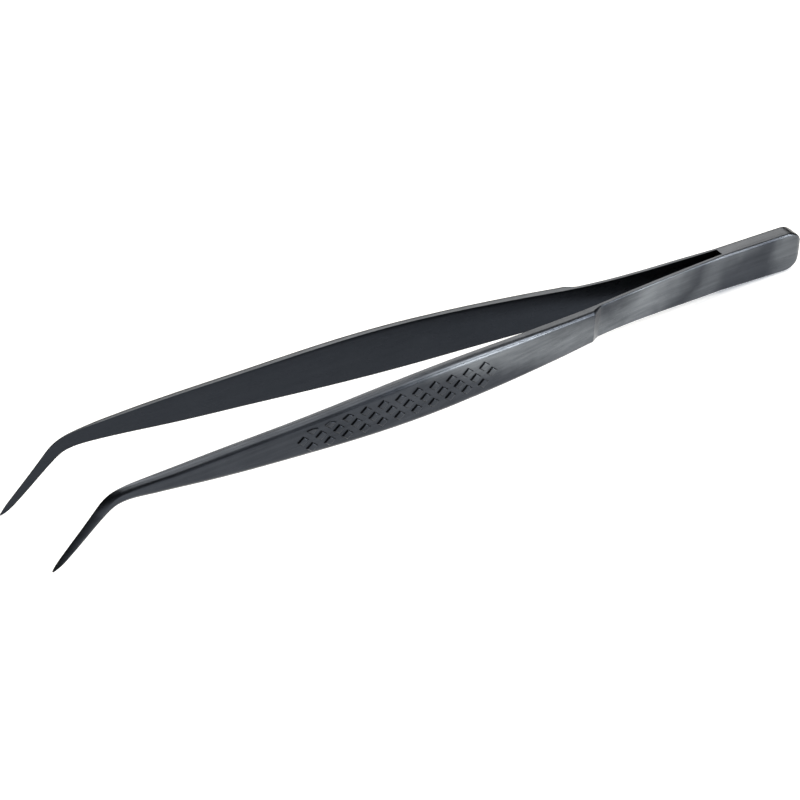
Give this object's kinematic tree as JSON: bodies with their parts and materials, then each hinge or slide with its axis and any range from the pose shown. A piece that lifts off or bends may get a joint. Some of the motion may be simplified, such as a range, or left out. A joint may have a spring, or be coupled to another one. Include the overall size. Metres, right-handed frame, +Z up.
{
  "type": "bent-tip precision tweezers",
  "caption": "Long fine-point tweezers with down-bent tips, raised-diamond finger grips and thin spring leaves welded to a spacer in a rounded tail.",
  "frame": {"origin": "centre of the footprint on the surface the tweezers stand on, under the middle of their length", "axes": "+X towards the welded tail, -X towards the tips, +Z up with the tips bent down, opening along Y"},
  "size_m": [0.2394, 0.0308, 0.0183],
  "materials": {
    "coated_steel": "stainless steel with a thin black coating, brushed lengthwise to a satin",
    "weld_steel": "bare spot-weld metal, hidden inside the tail"
  },
  "bodies": {
    "tail": {"near_spring_leaf": "coated_steel", "far_spring_leaf": "coated_steel", "tail_spacer": "coated_steel", "spot_welds": "weld_steel"},
    "near_jaw_body": {"near_arm": "coated_steel"},
    "far_jaw_body": {"far_arm": "coated_steel"}
  },
  "joints": [
    {"name": "near_squeeze", "type": "hinge", "parent": "tail", "child": "near_jaw_body", "pos_m": [0.06973, -0.00303, 0.00782], "axis": [-0.0421, 0, -0.9991], "range_deg": [0, 4.07], "stiffness_Nm_per_rad": 5.75, "deforming": ["near_spring_leaf"]},
    {"name": "far_squeeze", "type": "hinge", "parent": "tail", "child": "far_jaw_body", "pos_m": [0.06973, 0.00303, 0.00782], "axis": [0.0421, 0, 0.9991], "range_deg": [0, 4.07], "stiffness_Nm_per_rad": 5.75, "deforming": ["far_spring_leaf"]}
  ],
  "couplings": [
    {"joint": "far_squeeze", "follows": "near_squeeze", "ratio": 1}
  ]
}
